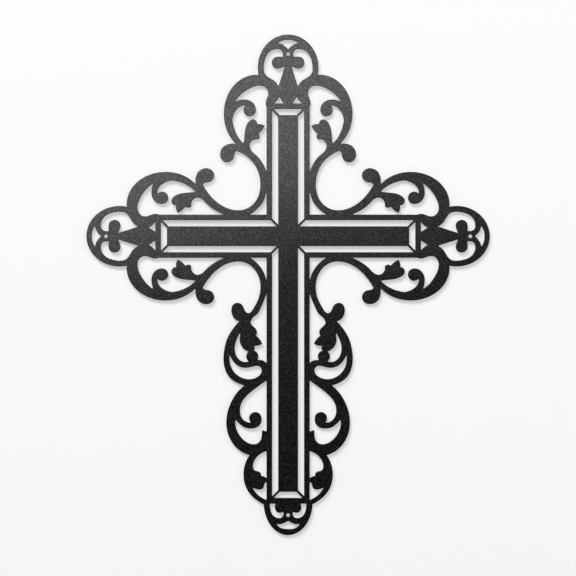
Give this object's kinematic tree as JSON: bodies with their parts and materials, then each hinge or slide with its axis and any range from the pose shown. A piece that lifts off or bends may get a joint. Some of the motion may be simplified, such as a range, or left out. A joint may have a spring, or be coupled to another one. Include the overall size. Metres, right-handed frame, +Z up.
{
  "type": "metal wall cross",
  "caption": "Flat openwork cross cut from sheet steel, with scrollwork around a framed plain cross and screw holes at the arm ends, for hanging on a wall.",
  "frame": {"origin": "middle of the crossing, on the flat back face that lies against the wall", "axes": "+Z up, from the foot to the top arm; +X to the right of someone who faces the cross; -Y out of the wall, the way the front faces"},
  "size_m": [0.3684, 0.002, 0.4572],
  "materials": {
    "coated_steel": "black powder coat with a fine texture and a soft sheen"
  },
  "bodies": {
    "root": {"wall_cross": "coated_steel"}
  },
  "joints": []
}
